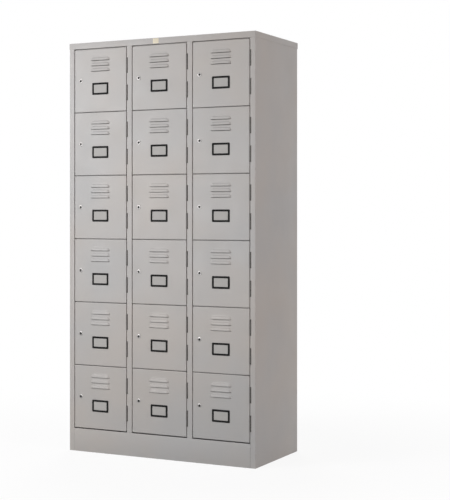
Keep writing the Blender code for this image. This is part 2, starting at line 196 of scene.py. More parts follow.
def merged(tree, geometry, distance):
    return outputOf(tree, "GeometryNodeMergeByDistance", {"Geometry": geometry, "Distance": distance})


# Copies of a part, one above the other
def stacked(tree, part, count, gap):
    step = outputOf(tree, "ShaderNodeCombineXYZ", {"Z": gap})
    line = outputOf(tree, "GeometryNodeMeshLine", {"Count": count, "Offset": step})
    return outputOf(tree, "GeometryNodeInstanceOnPoints", {"Points": line, "Instance": part})


# Materials. A spread noise is given by its scale, detail and roughness, the two levels that it is
# cut at and what these become. A relief has its scale, detail, depth and strength.
wear = {"samples": 4, "flat": 0.97, "turned": 0.72, "rub": (60, 3, 0.6, 0.46, 0.66, 0, 1)}


def startMaterial(name, **constants):
    material = bpy.data.materials.new(name)
    material.use_nodes = True
    tree = material.node_tree
    for key, value in constants.items():
        tree.nodes["Principled BSDF"].inputs[key.replace("_", " ")].default_value = value
    return material, tree, newNode(tree, "ShaderNodeTexCoord").outputs["Object"]


def finishMaterial(material, colour, normal, roughness=None):
    tree = material.node_tree
    shader = tree.nodes["Principled BSDF"]
    tree.links.new(colour, shader.inputs["Base Color"])
    tree.links.new(normal, shader.inputs["Normal"])
    if roughness is not None:
        tree.links.new(roughness, shader.inputs["Roughness"])
    return material


def noise(tree, place, scale, detail, roughness=0.5):
    return newNode(tree, "ShaderNodeTexNoise", {"Vector": place, "Scale": scale, "Detail": detail,
                                                "Roughness": roughness}).outputs["Fac"]


def spread(tree, place, scale, detail, roughness, *levels):
    return mapped(tree, noise(tree, place, scale, detail, roughness), *levels)


def mixed(tree, factor, first, second):
    colours = [value if isinstance(value, bpy.types.NodeSocket) else (*value, 1)
               for value in (first, second)]
    return newNode(tree, "ShaderNodeMix", {0: factor, 6: colours[0], 7: colours[1]},
                   data_type="RGBA").outputs[2]


def bumped(tree, height, distance, strength, below=None):
    inputs = {"Height": height, "Distance": distance, "Strength": strength}
    if below is not None:
        inputs["Normal"] = below
    return outputOf(tree, "ShaderNodeBump", inputs)


def relief(tree, place, scale, detail, depth, strength, below=None):
    return bumped(tree, noise(tree, place, scale, detail), depth, strength, below)


def stretched(tree, place, scale):
    return outputOf(tree, "ShaderNodeMapping", {"Vector": place, "Scale": scale})


# Share of wear: the shaded normal turns away from the rounded one only near an edge
def edgeShare(tree, radius, place):
    rounded = outputOf(tree, "ShaderNodeBevel", {"Radius": radius}, samples=wear["samples"])
    plain = newNode(tree, "ShaderNodeNewGeometry").outputs["Normal"]
    along = newNode(tree, "ShaderNodeVectorMath", {0: rounded, 1: plain},
                    operation="DOT_PRODUCT").outputs["Value"]
    edge = mapped(tree, along, wear["flat"], wear["turned"], 0.0, 1.0)
    return times(tree, edge, spread(tree, place, *wear["rub"]))


paint = {
    "warm": (0.472, 0.446, 0.418), "cool": (0.441, 0.440, 0.434), "worn": (0.55, 0.54, 0.53),
    "edge": 0.0011, "wear": 0.45, "roughness": 0.42, "polish": 0.12,
    "cloud": (2.4, 3, 0.5, 0.35, 0.65, 0, 1), "speck": (900, 2, 0.5, 0.3, 0.7, 0.97, 1.03),
    "handling": (9, 4, 0.6, 0.3, 0.7, -0.05, 0.06), "peel": (1 / 0.0045, 1, 0.00003, 0.35),
    "grain": (1 / 0.0014, 2, 0.00001, 0.35),
}


def makePowderCoat():
    material, tree, place = startMaterial("powder_coat_grey", Metallic=0.0)
    tone = mixed(tree, spread(tree, place, *paint["cloud"]), paint["warm"], paint["cool"])
    toned = scaled(tree, tone, spread(tree, place, *paint["speck"]))
    worn = edgeShare(tree, paint["edge"], place)
    colour = mixed(tree, times(tree, worn, paint["wear"]), toned, paint["worn"])
    rough = maths(tree, "ADD", spread(tree, place, *paint["handling"]), paint["roughness"])
    rough = maths(tree, "SUBTRACT", rough, times(tree, worn, paint["polish"]))
    peel = relief(tree, place, *paint["peel"])
    return finishMaterial(material, colour, relief(tree, place, *paint["grain"], peel), rough)


plastic = {
    "colour": (0.004, 0.004, 0.004), "scuffed": (0.016, 0.016, 0.016), "edge": 0.0008,
    "scuffShare": 0.35, "roughness": 0.5, "scuffRoughness": 0.7, "shine": 0.12,
    "scuff": (240, 4, 0.65, 0.5, 0.75, 0, 1), "grain": (2500, 2, 0.00001, 0.5),
}


def makeBlackPlastic():
    material, tree, place = startMaterial("black_plastic_moulded", Metallic=0.0,
                                          Specular_IOR_Level=plastic["shine"])
    scuff = spread(tree, place, *plastic["scuff"])
    share = maths(tree, "ADD", times(tree, scuff, plastic["scuffShare"]),
                  edgeShare(tree, plastic["edge"], place))
    return finishMaterial(material, mixed(tree, share, plastic["colour"], plastic["scuffed"]),
                          relief(tree, place, *plastic["grain"]),
                          mapped(tree, scuff, 0, 1, plastic["roughness"], plastic["scuffRoughness"]))


# Blank paper: the cards in the label holders, and the sticker on the header, which has no fade
card = {
    "paper": (0.485, 0.477, 0.460), "aged": (0.438, 0.437, 0.418), "roughness": 0.6, "shine": 0.3,
    "stretch": (0.35, 1, 1), "fibre": (1400, 4, 0.7, 0.4, 0.65, 0, 1), "fibreShare": 0.5,
    "fade": (35, 2, 0.5, 0.35, 0.7, 0, 0.5), "depth": 0.00002, "strength": 0.4,
}
stickerPaper = {
    "paper": (0.80, 0.735, 0.57), "aged": (0.74, 0.67, 0.50), "roughness": 0.5, "shine": 0.5,
    "stretch": (1, 1, 1), "fibre": (700, 4, 0.7, 0.4, 0.65, 0, 1), "fibreShare": 1,
    "fade": (35, 2, 0.5, 0.35, 0.7, 0, 0), "depth": 0.00002, "strength": 0.3,
}


def makePaper(name, paper):
    material, tree, place = startMaterial(name, Metallic=0.0, Specular_IOR_Level=paper["shine"],
                                          Roughness=paper["roughness"])
    fibre = spread(tree, stretched(tree, place, paper["stretch"]), *paper["fibre"])
    share = maths(tree, "MAXIMUM", times(tree, fibre, paper["fibreShare"]),
                  spread(tree, place, *paper["fade"]))
    return finishMaterial(material, mixed(tree, share, paper["paper"], paper["aged"]),
                          bumped(tree, fibre, paper["depth"], paper["strength"]))


chrome = {"bright": (0.395, 0.385, 0.375), "dull": (0.27, 0.26, 0.255), "roughness": 0.27}
# Painted shade: the plug's near-black metal stands for the shade in its recess, where a real plug face
# is chrome like the flange
plugPaintedShadeMetal = {"bright": (0.060, 0.058, 0.056), "dull": (0.035, 0.034, 0.033), "roughness": 0.34}
lockFinish = {
    "haze": (420, 4, 0.6, 0.42, 0.7, 0, 1), "hazeRoughness": 0.16, "brush": (1, 1, 14),
    "lines": (900, 2, 0.00001, 0.4),
}


def makeLockMetal(name, metal):
    material, tree, place = startMaterial(name, Metallic=1.0)
    haze = spread(tree, place, *lockFinish["haze"])
    brushed = stretched(tree, place, lockFinish["brush"])
    return finishMaterial(material, mixed(tree, haze, metal["bright"], metal["dull"]),
                          relief(tree, brushed, *lockFinish["lines"]),
                          mapped(tree, haze, 0, 1, metal["roughness"],
                                 metal["roughness"] + lockFinish["hazeRoughness"]))


# Hinge steel in a near-black colour, mottled and lighter where its edges are rubbed
steel = {
    "colour": (0.060, 0.056, 0.052), "rubbed": (0.16, 0.15, 0.14), "metallic": 0.35,
    "edge": 0.0008, "mottle": (160, 4, 0.6, 0.4, 0.7, 0, 0.6), "roughness": (0, 0.6, 0.4, 0.58),
    "grain": (1300, 2, 0.00001, 0.5),
}


def makeHingeSteel():
    material, tree, place = startMaterial("near_black_hinge_steel", Metallic=steel["metallic"])
    mottle = spread(tree, place, *steel["mottle"])
    share = maths(tree, "MAXIMUM", mottle, edgeShare(tree, steel["edge"], place))
    return finishMaterial(material, mixed(tree, share, steel["colour"], steel["rubbed"]),
                          relief(tree, place, *steel["grain"]),
                          mapped(tree, mottle, *steel["roughness"]))


powderCoat = makePowderCoat()
blackPlastic = makeBlackPlastic()
cardFinish = makePaper("blank_card", card)
chromeFinish = makeLockMetal("chromed_lock", chrome)
plugPaintedShadeFinish = makeLockMetal("lock_plug_painted_shade", plugPaintedShadeMetal)
hingeSteel = makeHingeSteel()
stickerFinish = makePaper("blank_sticker", stickerPaper)
print("Materials made")


# Places that the CAD gives
def low(node):
    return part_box(node)[0]


def high(node):
    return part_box(node)[1]


hinge = {
    "length": 0.068, "spread": 0.120, "setback": 0.0015, "knuckle": 0.0035, "pin": 0.0018,
    "leaf": 0.0012, "reach": 0.0105, "gap": 0.003, "sunk": 0.00005, "arcSteps": 18,
    "pinSides": 20, "pinStop": 0.002, "tipHeight": 0.0008, "tipTaper": 0.0006,
}
frontPlane = low("plinth").y
hingeOffset = hinge["knuckle"] + seam
pinAxis = hingeOffset - hinge["gap"]
doorWidth = high("door_left_1").x - low("door_left_1").x - hinge["knuckle"] - hingeOffset
doorHeight = high("door_left_1").z - low("door_left_1").z
tierPitch = low("door_left_1").z - low("door_left_2").z
hingeCentres = [(doorHeight + side * hinge["spread"]) / 2 for side in (-1, 1)]
frameEdges = {column: low(f"door_{column}_1").x + doorWidth + hinge["gap"] for column in columnNames}


# Points of a rounded rectangle about the origin, as (across, up)
def roundedRectangle(halfWidth, halfHeight, radius, steps=4):
    points = []
    for turn, (sideX, sideZ) in enumerate(((1, 1), (-1, 1), (-1, -1), (1, -1))):
        for step in range(steps + 1):
            angle = math.pi / 2 * (turn + step / steps)
            points.append((sideX * (halfWidth - radius) + radius * math.cos(angle),
                           sideZ * (halfHeight - radius) + radius * math.sin(angle)))
    return points


def circlePoints(radius, sides):
    turns = [2 * math.pi * step / sides for step in range(sides)]
    return [(radius * math.cos(turn), radius * math.sin(turn)) for turn in turns]


def ringOf(bm, points, y, centre=(0, 0)):
    return [bm.verts.new((centre[0] + x, y, centre[1] + z)) for x, z in points]


def bridgeRings(bm, first, second):
    for index in range(len(first)):
        following = (index + 1) % len(first)
        bm.faces.new((first[index], first[following], second[following], second[index]))


# Walls from each ring to the next. Closed walls go on from the last ring back to the first, and
# capped ones have a face in the first and the last ring.
def wallsBetween(bm, rings, closed=False, capped=False):
    for first, second in zip(rings, rings[1:]):
        bridgeRings(bm, first, second)
    if closed:
        bridgeRings(bm, rings[-1], rings[0])
    if capped:
        bm.faces.new(rings[0])
        bm.faces.new(rings[-1])
    return rings


# Fills the flat face between rings and any other edges
def fillBetween(bm, *rings, edges=()):
    border = list(edges)
    for ring in rings:
        pairs = [(vert, ring[(index + 1) % len(ring)]) for index, vert in enumerate(ring)]
        border += [bm.edges.get(pair) or bm.edges.new(pair) for pair in pairs]
    bmesh.ops.triangle_fill(bm, edges=border, use_beauty=True)


# A turned form about a line along Y, from (radius, y) points
def turned(bm, profile, sides, centre=(0, 0), closed=False):
    rings = [ringOf(bm, circlePoints(radius, sides), y, centre) for radius, y in profile]
    return wallsBetween(bm, rings, closed)


# Outer skin of a sheet that is folded back on all four sides, from its flat front inwards
def foldProfile(depth, lip, radius, support, steps):
    profile = [(radius + support, 0)]
    angles = [math.pi / 2 * step / steps for step in range(steps + 1)]
    for angle in angles:
        profile.append((radius - radius * math.sin(angle), radius - radius * math.cos(angle)))
    if not lip:
        return profile + [(0, depth)]
    for angle in angles:
        profile.append((radius - radius * math.cos(angle), depth - radius + radius * math.sin(angle)))
    return profile + [(lip, depth)]


# Rings of a folded pan about its centre. The first ring is the edge of its flat front.
def panRings(bm, width, height, profile, corner, steps, centre=(0, 0)):
    return wallsBetween(bm, [
        ringOf(bm, roundedRectangle(width / 2 - inset, height / 2 - inset, corner, steps), y, centre)
        for inset, y in profile])


thicken = {"thickness": sheetThickness, "use_even_offset": True, "use_rim": True}


# Turns a skin's front towards -Y and gives it its thickness behind
def thickened(bm):
    bmesh.ops.recalc_face_normals(bm, faces=bm.faces)
    largest = max(bm.faces, key=lambda face: face.calc_area())
    if largest.normal.y > 0:
        bmesh.ops.reverse_faces(bm, faces=bm.faces)
    return withModifiers(storeMesh(bm), ("SOLIDIFY", {**thicken, "offset": -1.0}))


# Louvres: one strip of the door's sheet for each, pressed outwards above a slit
louvre = {
    "count": 3, "length": 0.095, "height": 0.0132, "depth": 0.0045, "end": 0.0132,
    "pitch": 0.0238, "drop": 0.0500, "slit": 0.0020, "margin": 0.005, "columns": 84, "rows": 18,
    "lean": 0.4, "crown": 0.68, "leastHeight": 0.00001, "merge": 0.00002,
}


def makeLouvreTree():
    tree, given = startTree("pressed_louvres", {
        "Float": ("Length", "Height", "Depth", "End", "Pitch", "Slit", "Margin", "Lean", "Crown"),
        "Int": ("Count", "Columns", "Rows")})
    place = newNode(tree, "ShaderNodeSeparateXYZ",
                    {0: outputOf(tree, "GeometryNodeInputPosition")}).outputs

    calc = partial(maths, tree)
    product = partial(times, tree)
    less = partial(maths, tree, "SUBTRACT")
    width = calc("ADD", given["Length"], product(given["Margin"], 2))
    half = product(given["Length"], 0.5)
    across = calc("ABSOLUTE", place["X"])

    def strip(height, rows, bottom, pressed=False):
        grid = outputOf(tree, "GeometryNodeMeshGrid", {
            "Size X": width, "Size Y": height, "Vertices X": calc("ADD", given["Columns"], 1),
            "Vertices Y": calc("ADD", rows, 1)})
        up = calc("ADD", place["Y"], product(height, 0.5))
        out = 0.0
        if pressed:
            beyond = calc("DIVIDE", less(across, less(half, given["End"])), given["End"])
            share = calc("MINIMUM", calc("MAXIMUM", beyond, 0.0), 1.0)
            rise = calc("SQRT", less(1.0, product(share, share)))
            top = calc("MAXIMUM", product(given["Height"], rise), louvre["leastHeight"])
            climb = calc("MINIMUM", calc("DIVIDE", up, top), 1.0)
            # The face leans back to its crown and then turns sharply into the sheet
            face = less(1.0, product(climb, given["Lean"]))
            turn = mapped(tree, climb, given["Crown"], 1.0, 1.0, 0.0, interpolation_type="SMOOTHSTEP")
            out = product(product(rise, product(face, turn)), product(given["Depth"], -1.0))
        spot = outputOf(tree, "ShaderNodeCombineXYZ",
                        {"X": place["X"], "Y": out, "Z": calc("ADD", up, bottom)})
        return outputOf(tree, "GeometryNodeSetPosition", {"Geometry": grid, "Position": spot})

    slitEnds = outputOf(tree, "GeometryNodeDeleteGeometry", {
        "Geometry": strip(given["Slit"], 1, product(given["Slit"], -1.0)),
        "Selection": calc("LESS_THAN", across, half)}, domain="FACE")
    above = less(given["Pitch"], calc("ADD", given["Height"], given["Slit"]))
    unit = joinParts(tree, slitEnds, strip(given["Height"], given["Rows"], 0.0, True),
                     strip(above, 1, given["Height"]))
    row = stacked(tree, unit, given["Count"], product(given["Pitch"], -1.0))
    last = product(less(given["Count"], 1.0), given["Pitch"])
    foot = product(calc("ADD", last, given["Margin"]), -1.0)
    skirt = strip(less(given["Margin"], given["Slit"]), 1, foot)
    whole = outputOf(tree, "GeometryNodeRealizeInstances", {"Geometry": joinParts(tree, row, skirt)})
    return endTree(tree, merged(tree, whole, louvre["merge"]), given["Finish"])


doorSheet = {
    "depth": 0.015, "lip": 0.012, "bend": 0.0016, "corner": 0.0020, "support": 0.003,
    "bendSteps": 4, "cornerSteps": 4, "near": 0.00001, "merge": 0.000005,
}
lock = {
    "inset": 0.032, "sides": 40, "clearance": 0.0003,
    "flangeRadius": 0.0095, "flange": 0.002, "boreRound": 0.0003,
    "rimSection": ((0.0022, 0), (0.0008, 0.0004), (0, 0.0012)),
    "barrel": 0.008, "barrelEnd": 0.0165, "threads": 12, "threadDepth": 0.0005,
    "nut": 0.0125, "nutThickness": 0.0035, "nutBore": 0.0079, "nutSides": 48,
    "nutBevel": 0.0007, "nutBevelShare": 0.94,
    "plug": 0.0055, "setback": 0.0004, "slotWidth": 0.0012, "slotHeight": 0.0065,
    "slotDepth": 0.006, "ward": 0.0008, "wardFace": 0.0004, "wardShare": 0.2,
    "insertWidth": 0.0064, "insertHeight": 0.0098, "insertProud": 0.0002, "insertRound": 0.0001,
    "insertFlat": 0.0002, "insertSteps": 6, "slotRound": 0.5,
    "camFront": 0.0195, "camThickness": 0.0015, "camHalfWidth": 0.007, "camLength": 0.030,
    "camCorner": 0.001, "camSteps": 16, "camBevel": 0.0002, "camBevelSteps": 2,
    "screw": 0.005, "screwHead": 0.002, "screwSides": 36,
    "screwDomeShares": ((1, 0), (1, 0.35), (0.93, 0.7), (0.78, 0.92), (0.62, 1)),
    "crossArm": 0.0005, "crossReach": 0.0024, "crossTaperShare": 0.5, "crossFloorShare": 0.3,
}
doorMiddle = (doorWidth / 2, doorHeight / 2)
lockCentre = (lock["inset"], doorHeight / 2)
plugFace = lock["setback"] - lock["flange"]


def makeDoorSheet():
    values = {key.title(): value for key, value in louvre.items()}
    field = runTree(makeLouvreTree(), bpy.data.meshes.new("empty"), {**values, "Finish": powderCoat})
    louvreFoot = doorHeight - louvre["drop"]
    field.transform(Matrix.Translation((doorWidth / 2, 0, louvreFoot)))
    bm = bmesh.new()
    bm.from_mesh(field)
    halfWidth = louvre["length"] / 2 + louvre["margin"]
    top = louvreFoot + louvre["pitch"] - louvre["slit"]
    bottom = louvreFoot - (louvre["count"] - 1) * louvre["pitch"] - louvre["margin"]

    def onOutline(vert):
        sides = (abs(abs(vert.co.x - doorWidth / 2) - halfWidth), abs(vert.co.z - top),
                 abs(vert.co.z - bottom))
        return min(sides) < doorSheet["near"]

    outline = [edge for edge in bm.edges if edge.is_boundary and all(map(onOutline, edge.verts))]
    profile = foldProfile(doorSheet["depth"], doorSheet["lip"], doorSheet["bend"],
                          doorSheet["support"], doorSheet["bendSteps"])
    rings = panRings(bm, doorWidth, doorHeight, profile, doorSheet["corner"],
                     doorSheet["cornerSteps"], doorMiddle)
    radius = lock["barrel"] + lock["clearance"]
    hole = ringOf(bm, circlePoints(radius, lock["sides"]), 0, lockCentre)
    fillBetween(bm, rings[0], hole, edges=outline)
    bmesh.ops.remove_doubles(bm, verts=bm.verts, dist=doorSheet["merge"])
    return smoothMesh(thickened(bm), angle=40)


# Label holder: a moulded frame with a rounded face, and the card in its window. Its section has
# insets from the outer or inner edge, and shares of the thickness.
label = {
    "width": 0.083, "height": 0.0534, "rim": 0.0085, "thickness": 0.0022, "drop": 0.1769,
    "outerSection": ((0, 0), (0, 0.45), (0.0005, 0.80), (0.0014, 1)),
    "innerSection": ((0.0032, 1), (0.0016, 0.86), (0, 0.52), (0, 0)),
    "corner": 0.004, "innerCorner": 0.0018, "cornerSteps": 6,
    "cardFront": 0.0006, "cardTuck": 0.0012, "cardBow": 0.00025, "cardColumns": 12,
}
labelCentre = (doorWidth / 2, doorHeight - label["drop"])


def makeLabelHolder():
    bm = bmesh.new()
    profile = [(inset, share * label["thickness"]) for inset, share in label["outerSection"]]
    profile += [(label["rim"] - inset, share * label["thickness"])
                for inset, share in label["innerSection"]]
    rings = []
    for inset, out in profile:
        share = inset / label["rim"]
        corner = label["corner"] * (1 - share) + label["innerCorner"] * share
        points = roundedRectangle(label["width"] / 2 - inset, label["height"] / 2 - inset, corner,
                                  label["cornerSteps"])
        rings.append(ringOf(bm, points, -out, labelCentre))
    wallsBetween(bm, rings, closed=True)
    return smoothFrom(bm, angle=45)


# The card bows very slightly between its two ends
def makeCard():
    bm = bmesh.new()
    halfWidth = label["width"] / 2 - label["rim"] + label["cardTuck"]
    halfHeight = label["height"] / 2 - label["rim"] + label["cardTuck"]
    columns = label["cardColumns"]
    rings = []
    for column in range(columns + 1):
        x = -halfWidth + 2 * halfWidth * column / columns
        front = -label["cardFront"] - label["cardBow"] * math.cos(math.pi * x / halfWidth / 2)
        corners = ((0, -halfHeight), (0, halfHeight), (front, halfHeight), (front, -halfHeight))
        rings.append([bm.verts.new((labelCentre[0] + x, y, labelCentre[1] + z)) for y, z in corners])
    wallsBetween(bm, rings, capped=True)
    return smoothFrom(bm)


# Lock body: flange with a rounded rim and a threaded barrel
def makeLockBody():
    bore = lock["plug"] + lock["clearance"]
    front = -lock["flange"]
    profile = [(bore, front + lock["boreRound"]), (bore + lock["boreRound"], front)]
    profile += [(lock["flangeRadius"] - inset, front + back) for inset, back in lock["rimSection"]]
    profile += [(lock["flangeRadius"], 0), (lock["barrel"], 0), (lock["barrel"], sheetThickness)]
    pitch = (lock["barrelEnd"] - sheetThickness) / lock["threads"]
    for turn in range(lock["threads"]):
        profile += [(lock["barrel"] - lock["threadDepth"], sheetThickness + (turn + 0.5) * pitch),
                    (lock["barrel"], sheetThickness + (turn + 1) * pitch)]
    profile.append((bore, lock["barrelEnd"]))
    bm = bmesh.new()
    turned(bm, profile, lock["sides"], lockCentre, closed=True)
    return smoothFrom(bm, angle=40)


# Hexagonal nut behind the sheet, with its corners cut by a cone on both faces
def makeNut():
    bm = bmesh.new()
    near = sheetThickness
    far = near + lock["nutThickness"]
    flat = lock["nut"] * math.cos(math.pi / 6)
    rings = []
    for share, y in ((lock["nutBevelShare"], near), (1, near + lock["nutBevel"]),
                     (1, far - lock["nutBevel"]), (lock["nutBevelShare"], far)):
        points = []
        for step in range(lock["nutSides"]):
            angle = 2 * math.pi * step / lock["nutSides"]
            local = (angle % (math.pi / 3)) - math.pi / 6
            radius = min(flat / math.cos(local), lock["nut"] * share)
            points.append((radius * math.cos(angle), radius * math.sin(angle)))
        rings.append(ringOf(bm, points, y, lockCentre))
    bore = circlePoints(lock["nutBore"], lock["nutSides"])
    rings += [ringOf(bm, bore, y, lockCentre) for y in (far, near)]
    wallsBetween(bm, rings, closed=True)
    return smoothFrom(bm, angle=25)


# Plug with its key slot, which has one ward step in its left side
def makeLockPlug():
    bm = bmesh.new()
    rings = turned(bm, [(lock["plug"] - lock["boreRound"], plugFace),
                        (lock["plug"], plugFace + lock["boreRound"]),
                        (lock["plug"], lock["camFront"])], lock["sides"])
    halfWidth = lock["slotWidth"] / 2
    halfHeight = lock["slotHeight"] / 2
    ward = -halfWidth * lock["wardShare"]
    outline = [(-halfWidth, -halfHeight), (halfWidth, -halfHeight), (halfWidth, halfHeight),
               (-halfWidth, halfHeight), (-halfWidth, lock["ward"]), (ward, lock["wardFace"]),
               (ward, -lock["wardFace"]), (-halfWidth, -lock["ward"])]
    slot = wallsBetween(bm, [ringOf(bm, outline, plugFace + back) for back in (0, lock["slotDepth"])])
    bm.faces.new(slot[1])
    bm.faces.new(rings[-1])
    fillBetween(bm, rings[0], slot[0])
    return smoothFrom(bm, angle=40)


# Black insert around the key slot. It is partly painted shade: it is made wide, so that its black also
# stands for the shade in the keyhole.
def makeKeyway():
    bm = bmesh.new()
    out = plugFace - lock["insertProud"]
    edge = lock["insertRound"]
    halfWidth = lock["insertWidth"] / 2
    halfHeight = lock["insertHeight"] / 2
    slotX = lock["slotWidth"] / 2
    steps = lock["insertSteps"]
    rings = [ringOf(bm, roundedRectangle(halfWidth - inset, halfHeight - inset,
                                         halfWidth - lock["insertFlat"], steps), y)
             for inset, y in ((0, plugFace), (0, out + edge), (edge, out))]
    slot = roundedRectangle(slotX, lock["slotHeight"] / 2, slotX * lock["slotRound"], steps)
    rings += [ringOf(bm, slot, y) for y in (out, plugFace)]
    wallsBetween(bm, rings, closed=True)
    return smoothFrom(bm, angle=40)


def makeCam():
    bm = bmesh.new()
    half = lock["camHalfWidth"]
    inner = half - lock["camCorner"]
    straight = lock["camLength"] - half
    points = [(half, inner), (inner, half), (-inner, half), (-half, inner)]
    for step in range(lock["camSteps"] + 1):
        angle = math.pi * (1 + step / lock["camSteps"])
        points.append((half * math.cos(angle), half * math.sin(angle) - straight))
    rings = [ringOf(bm, points, lock["camFront"] + depth) for depth in (0, lock["camThickness"])]
    wallsBetween(bm, rings, capped=True)
    bevel = ("BEVEL", {"width": lock["camBevel"], "segments": lock["camBevelSteps"],
                       "limit_method": "ANGLE"})
    return smoothMesh(withModifiers(meshFrom(bm), bevel), angle=40)


# Screw that holds the cam, with a domed head and a cross in it
def makeScrew():
    bm = bmesh.new()
    base = lock["camFront"] + lock["camThickness"]
    head = lock["screwHead"]
    domed = [(across * lock["screw"], base + up * head) for across, up in lock["screwDomeShares"]]
    rings = turned(bm, domed, lock["screwSides"])
    arm = lock["crossArm"]
    reach = lock["crossReach"]
    # The cross is one corner, turned three times
    cross = []
    corner = [(arm, reach), (-arm, reach), (-arm, arm)]
    for quarter in range(4):
        cross += corner
        corner = [(-z, x) for x, z in corner]
    taper = lock["crossTaperShare"]
    mouth = ringOf(bm, cross, base + head)
    floor = ringOf(bm, [(taper * x, taper * z) for x, z in cross],
                   base + lock["crossFloorShare"] * head)
    bridgeRings(bm, mouth, floor)
    bm.faces.new(floor)
    bm.faces.new(rings[0])
    fillBetween(bm, rings[-1], mouth)
    return smoothFrom(bm, angle=40)


# Plan of a hinge half about its pin: the rolled knuckle and the leaf that leaves it backwards
def knucklePlan(near, far):
    radius = hinge["knuckle"]
    start = math.acos(-near / radius)
    end = math.acos(-min(far / radius, 1))
    sweep = 2 * math.pi - (end - start)
    steps = hinge["arcSteps"]
    points = [(radius * math.cos(start - sweep * step / steps),
               radius * math.sin(start - sweep * step / steps)) for step in range(steps + 1)]
    if far > radius:
        points.append((-far, 0))
    return points + [(-far, hinge["reach"]), (-near, hinge["reach"])]


# Level rings, from (plan, height) pairs, with the walls between them
def uprightRings(bm, plans):
    return wallsBetween(bm, [[bm.verts.new((x, y, z)) for x, y in plan] for plan, z in plans])


# Upper half, on the door, with an open bore. Its leaf is sunk slightly in the door's side.
def makeDoorHinge():
    bm = bmesh.new()
    plan = knucklePlan(hinge["knuckle"] - hinge["leaf"], hingeOffset + hinge["sunk"])
    bore = circlePoints(hinge["pin"] + seam, hinge["pinSides"])
    heights = (seam / 2, hinge["length"] / 2)
    outer = uprightRings(bm, [(plan, z) for z in heights])
    inner = uprightRings(bm, [(bore, z) for z in heights])
    for ends in zip(outer, inner):
        fillBetween(bm, *ends)
    return smoothFrom(bm, angle=30)


# Lower half, on the frame, with the pin standing on it
def makeFrameHinge():
    bm = bmesh.new()
    plan = knucklePlan(pinAxis - hinge["sunk"], pinAxis + seam + hinge["leaf"])
    outer = uprightRings(bm, [(plan, -hinge["length"] / 2), (plan, -seam / 2)])
    bm.faces.new(outer[0])
    top = hinge["length"] / 2 - hinge["pinStop"]
    pins = uprightRings(bm, [(circlePoints(radius, hinge["pinSides"]), z) for radius, z in (
        (hinge["pin"], -seam / 2), (hinge["pin"], top - hinge["tipHeight"]),
        (hinge["pin"] - hinge["tipTaper"], top))])
    bm.faces.new(pins[2])
    fillBetween(bm, outer[1], pins[0])
    return smoothFrom(bm, angle=30)


# Hinges repeat in pairs, once or for every tier of a column
def makeHingeTree():
    tree, given = startTree("hinge_column", {"Float": ("Pair Spread", "Tier Pitch"),
                                             "Int": ("Tiers",)})
    pair = stacked(tree, given["Geometry"], 2, given["Pair Spread"])
    return endTree(tree, stacked(tree, pair, given["Tiers"], given["Tier Pitch"]), given["Finish"])


hingeTree = makeHingeTree()


def hingePairs(mesh, tiers):
    return runTree(hingeTree, mesh, {"Pair Spread": hinge["spread"], "Tiers": tiers,
                                     "Tier Pitch": tierPitch, "Finish": hingeSteel})


doorMesh = makeDoorSheet()
doorHinges = hingePairs(makeDoorHinge(), 1)
doorFittings = (
    ("label_holder", makeLabelHolder(), blackPlastic, None),
    ("label_card", makeCard(), cardFinish, None),
    ("lock_body", makeLockBody(), chromeFinish, "lock_chrome"),
    ("lock_nut", makeNut(), chromeFinish, "lock_chrome"),
)
plugMesh = makeLockPlug()
lockFittings = (
    ("lock_keyway", makeKeyway(), blackPlastic, None),
    ("lock_cam", makeCam(), chromeFinish, "lock_chrome"),
    ("lock_screw", makeScrew(), chromeFinish, "lock_chrome"),
)
print("Door masters made:", len(doorMesh.polygons), "faces in the sheet")

for columnName in columnNames:
    for tier in range(1, tierCount + 1):
        tag = f"{columnName}_{tier}"
        door = f"door_{tag}"
        plug = f"lock_{tag}"
        corner = Vector((low(door).x, frontPlane, low(door).z))
        lockPlace = corner + Vector((lockCentre[0], 0, lockCentre[1]))
        pinPlace = corner + Vector((doorWidth + hingeOffset, hinge["setback"], hingeCentres[0]))
        addPiece(f"door_sheet_{tag}", doorMesh, door, corner, powderCoat, (door,))
        for name, mesh, finish, slot in doorFittings:
            addPiece(f"{name}_{tag}", mesh, door, corner, finish, ())
        addPiece(f"door_hinges_{tag}", doorHinges, door, pinPlace, hingeSteel)
        addPiece(f"lock_plug_{tag}", plugMesh, plug, lockPlace, plugPaintedShadeFinish, (plug,))
        for name, mesh, finish, slot in lockFittings:
            addPiece(f"{name}_{tag}", mesh, plug, lockPlace, finish, ())
print("Doors and locks placed")


# Folded sheets: a plan line gets rounded bends, runs along a vector and then gets its thickness
cabinet = {
    "stileFace": 0.0243, "postFace": 0.0254, "return": 0.0175, "stopLip": 0.012,
    "rearFlange": 0.015, "backReturn": 0.020, "capLip": 0.026, "headerStop": 0.014, "hem": 0.010,
    "shelfFlange": 0.018, "floorLip": 0.0035, "bend": 0.0011, "bendSteps": 5,
    "trayBend": 0.0016, "traySupport": 0.003, "trayCorner": 0.0015, "traySteps": 4,
    "notchClearance": 0.0007, "overrun": 0.002, "merge": 0.00001,
}


def makeFoldTree():
    tree, given = startTree("folded_sheet", {"Float": ("Bend Radius",), "Int": ("Bend Steps",),
                                             "Vector": ("Run",)})
    curve = outputOf(tree, "GeometryNodeMeshToCurve", {"Mesh": given["Geometry"]})
    bent = outputOf(tree, "GeometryNodeFilletCurve", {
        "Curve": curve, "Count": given["Bend Steps"], "Radius": given["Bend Radius"],
        "Limit Radius": True}, mode="POLY")
    line = outputOf(tree, "GeometryNodeCurveToMesh", {"Curve": bent})
    # Two bends that meet leave a doubled point, which would spoil the sheet's thickness
    swept = outputOf(tree, "GeometryNodeExtrudeMesh", {
        "Mesh": merged(tree, line, cabinet["merge"]), "Offset": given["Run"],
        "Offset Scale": 1.0}, mode="EDGES")
    return endTree(tree, swept, given["Finish"])


foldTree = makeFoldTree()


